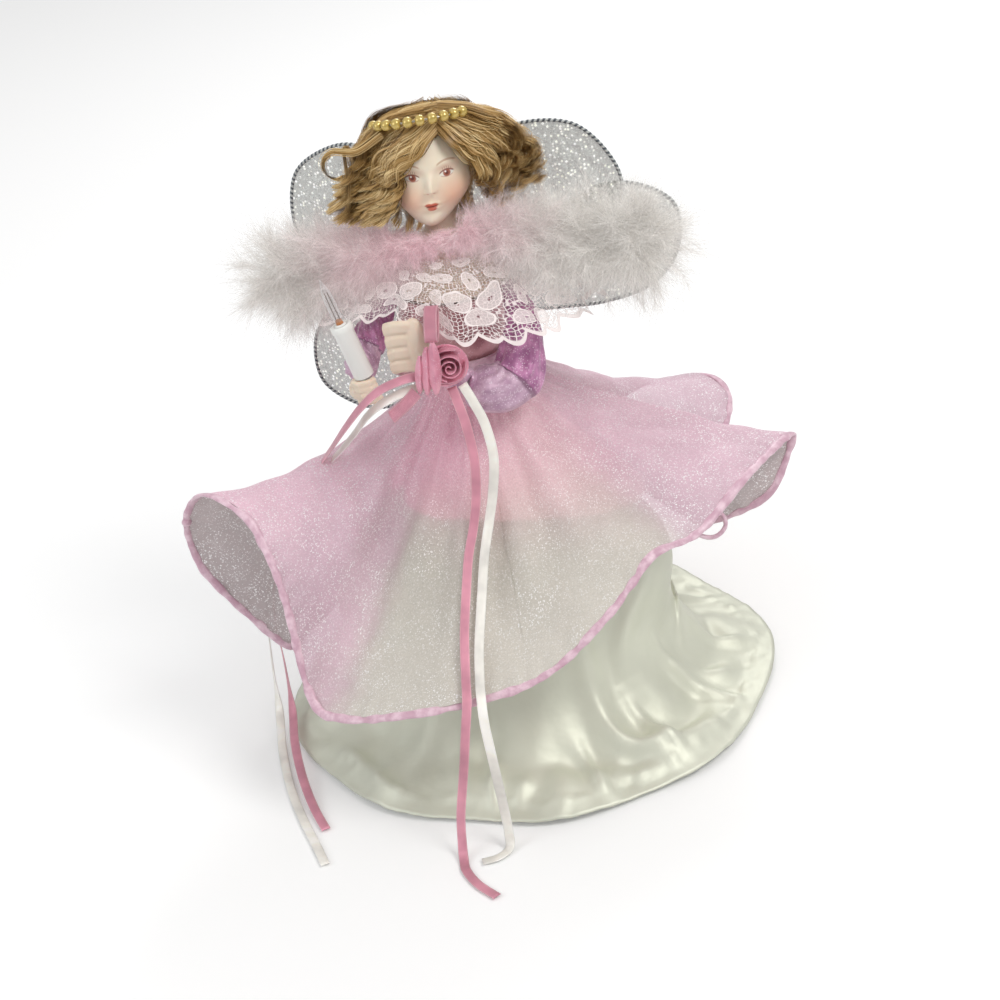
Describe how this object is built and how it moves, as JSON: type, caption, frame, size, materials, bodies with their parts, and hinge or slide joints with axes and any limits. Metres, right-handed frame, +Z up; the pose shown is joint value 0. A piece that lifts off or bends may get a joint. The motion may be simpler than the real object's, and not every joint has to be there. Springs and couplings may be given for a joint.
{
  "type": "angel tree topper",
  "caption": "Angel tree topper: porcelain doll with wig, bead halo, feather boa and lace on a card cone, with lamp candle, film wings, satin and sheer skirts and a ribbon rose.",
  "frame": {"origin": "on the cone's axis at the level of its base, which is the middle of the object's box without the loose ribbons", "axes": "+Z up along the cone, the figure's chest faces -Y, its own right hand is towards -X"},
  "size_m": [0.2637, 0.2687, 0.2915],
  "materials": {
    "card": "plain buff card",
    "padding": "stuffed cotton",
    "mauve_satin": "mauve satin, soft sheen",
    "pale_mauve": "pale mauve gathered satin",
    "porcelain": "bisque porcelain, painted",
    "hair": "golden brown curled fibre",
    "wire": "plain steel wire",
    "gold_bead": "silver-lined gold glass",
    "feather": "pink marabou with pale tips",
    "lace": "off-white floral lace",
    "candle": "white moulded plastic",
    "lamp_base": "copper-orange push-in base",
    "glass": "clear drawn glass",
    "wing_film": "iridescent glitter film",
    "rim_cord": "twisted silver cord over wire",
    "ivory_satin": "ivory satin",
    "pink_layer": "peach pink voile",
    "sheer_pink": "sheer organza with fine glitter",
    "pink_binding": "pink satin binding",
    "rose_ribbon": "dusty rose satin ribbon",
    "cream_ribbon": "cream satin ribbon"
  },
  "bodies": {
    "figure": {"cone_core": "card", "torso": "padding", "bodice": "mauve_satin", "porcelain_head": "porcelain", "wig": "hair", "halo_wire": "wire", "halo_bead_01": "gold_bead", "halo_bead_02": "gold_bead", "halo_bead_03": "gold_bead", "halo_bead_04": "gold_bead", "halo_bead_05": "gold_bead", "halo_bead_06": "gold_bead", "halo_bead_07": "gold_bead", "halo_bead_08": "gold_bead", "halo_bead_09": "gold_bead", "halo_bead_10": "gold_bead", "halo_bead_11": "gold_bead", "feather_boa": "feather", "lace_collar": "lace", "wing_yoke": "card", "underskirt": "ivory_satin", "peplum": "pink_layer", "overskirt": "sheer_pink", "overskirt_binding": "pink_binding", "waistband": "pink_binding", "rose_bloom": "rose_ribbon", "rose_base": "rose_ribbon", "rose_petal": "rose_ribbon", "rose_loop": "rose_ribbon", "rose_tail": "rose_ribbon", "streamer_front_rose": "rose_ribbon", "streamer_front_cream": "cream_ribbon", "streamer_side_cream": "cream_ribbon", "streamer_side_rose": "rose_ribbon"},
    "right_arm": {"right_arm_wire": "wire", "right_sleeve": "mauve_satin", "right_hand": "porcelain", "candle": "candle"},
    "lamp": {"lamp_base": "lamp_base", "lamp_glass": "glass", "lamp_filament": "wire"},
    "left_arm": {"left_arm_wire": "wire", "left_sleeve": "mauve_satin", "left_cuff": "pale_mauve", "left_hand": "porcelain"},
    "right_wing": {"right_wing_stem": "rim_cord", "right_wing_upper_film": "wing_film", "right_wing_upper_rim": "rim_cord", "right_wing_lower_film": "wing_film", "right_wing_lower_rim": "rim_cord"},
    "left_wing": {"left_wing_stem": "rim_cord", "left_wing_upper_film": "wing_film", "left_wing_upper_rim": "rim_cord", "left_wing_lower_film": "wing_film", "left_wing_lower_rim": "rim_cord"}
  },
  "joints": [
    {"name": "right_arm_swing", "type": "hinge", "parent": "figure", "child": "right_arm", "pos_m": [-0.02561, -0.006, 0.207], "axis": [1, 0, 0], "range_deg": [-6, 14]},
    {"name": "left_arm_swing", "type": "hinge", "parent": "figure", "child": "left_arm", "pos_m": [0.02561, -0.006, 0.207], "axis": [1, 0, 0], "range_deg": [-2, 6]},
    {"name": "right_wing_fold", "type": "hinge", "parent": "figure", "child": "right_wing", "pos_m": [-0.0058, 0.0291, 0.184], "axis": [0, 0, -1], "range_deg": [-6, 30]},
    {"name": "left_wing_fold", "type": "hinge", "parent": "figure", "child": "left_wing", "pos_m": [0.0058, 0.0291, 0.176], "axis": [0, 0, 1], "range_deg": [-6, 30]},
    {"name": "lamp_pull", "type": "slide", "parent": "right_arm", "child": "lamp", "axis": [-0.225, 0, 0.9744], "range_m": [0, 0.016]}
  ]
}
